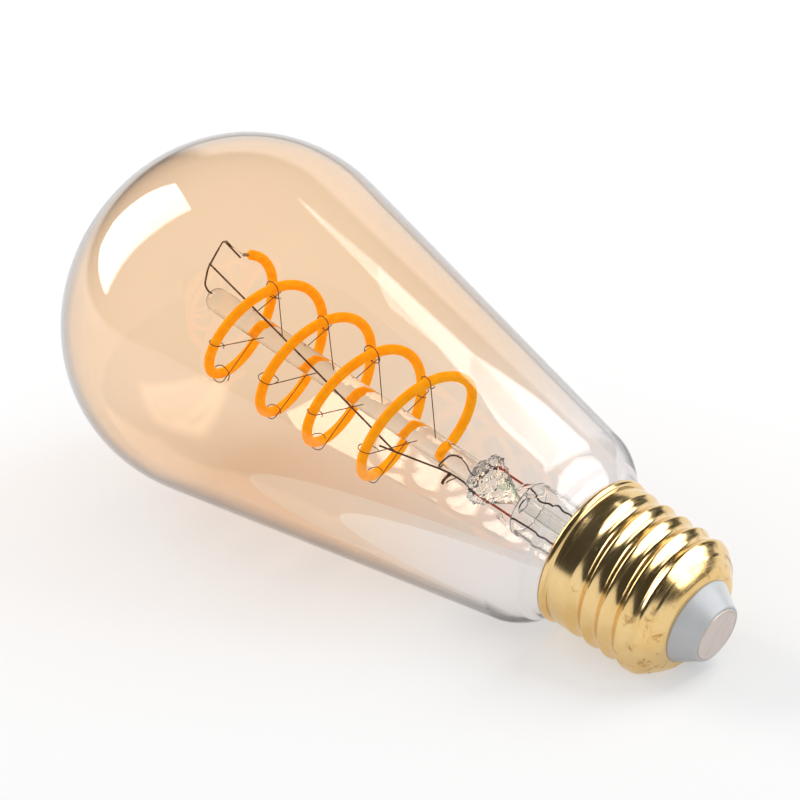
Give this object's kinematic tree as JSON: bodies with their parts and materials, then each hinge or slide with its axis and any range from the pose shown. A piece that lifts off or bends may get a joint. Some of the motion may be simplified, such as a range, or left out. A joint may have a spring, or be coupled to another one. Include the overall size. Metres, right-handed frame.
{
  "type": "smart light bulb",
  "caption": "Smart filament light bulb: tapered amber glass with a rounded dome, a spiral light filament on a glass stem, and a threaded brass cap with an end contact.",
  "frame": {"origin": "centre of the end contact's outer face, on the lamp's axis", "axes": "+Z along the lamp's axis from the end contact to the dome; -Z is the way the cap goes into its socket; -Y is the front, the side of the stem that the return wire passes"},
  "size_m": [0.064, 0.064, 0.136],
  "materials": {
    "bulb_glass": "clear, amber tint fading to clear at the neck",
    "stem_glass": "clear",
    "cap_brass": "rolled, lightly scratched and stained",
    "insulator": "satin",
    "contact_metal": "satin",
    "cement": "matte",
    "seal_copper": "oxide red under glass",
    "dark_wire": "dark, crinkled",
    "brown_wire": "dull brown",
    "tab_metal": "dull",
    "filament": "soft phosphor coating",
    "circuit_board": "solder mask",
    "shield_metal": "tinned",
    "dark_component": "moulded",
    "ferrite": "matte",
    "winding_copper": "enamelled",
    "resistor_body": "enamelled",
    "hookup_wire": "insulated"
  },
  "bodies": {
    "root": {"bridge_rectifier": "dark_component", "buffer_capacitor": "dark_component", "cap_cement": "cement", "cap_insulator": "insulator", "cap_shell": "cap_brass", "crimp_plate": "tab_metal", "crimp_wire": "tab_metal", "driver_board": "circuit_board", "driver_chip": "dark_component", "end_contact": "contact_metal", "exhaust_tube": "stem_glass", "filament_tab_low": "tab_metal", "filament_tab_top": "tab_metal", "filament_tab_wire": "tab_metal", "fuse_resistor": "resistor_body", "glass_envelope": "bulb_glass", "inductor_core": "ferrite", "inductor_winding": "winding_copper", "inner_lead_left": "brown_wire", "inner_lead_right": "brown_wire", "led_filament": "filament", "live_wire": "hookup_wire", "outer_lead_left": "dark_wire", "outer_lead_right": "dark_wire", "radio_board": "circuit_board", "radio_shield": "shield_metal", "return_wire": "brown_wire", "seal_wire_left": "seal_copper", "seal_wire_right": "seal_copper", "shell_wire": "hookup_wire", "stem_flare_tube": "stem_glass", "stem_press": "stem_glass", "stem_rod": "stem_glass", "support_hook_01": "brown_wire", "support_hook_02": "brown_wire", "support_hook_03": "brown_wire", "support_hook_04": "brown_wire", "support_hook_05": "brown_wire", "support_hook_06": "brown_wire", "support_hook_07": "brown_wire", "support_hook_08": "brown_wire", "support_hook_09": "brown_wire", "support_hook_10": "brown_wire", "support_hook_11": "brown_wire", "support_hook_12": "brown_wire", "support_hook_13": "brown_wire", "support_hook_14": "brown_wire", "support_hook_15": "brown_wire", "support_hook_16": "brown_wire", "top_support_wire": "brown_wire"}
  },
  "joints": []
}
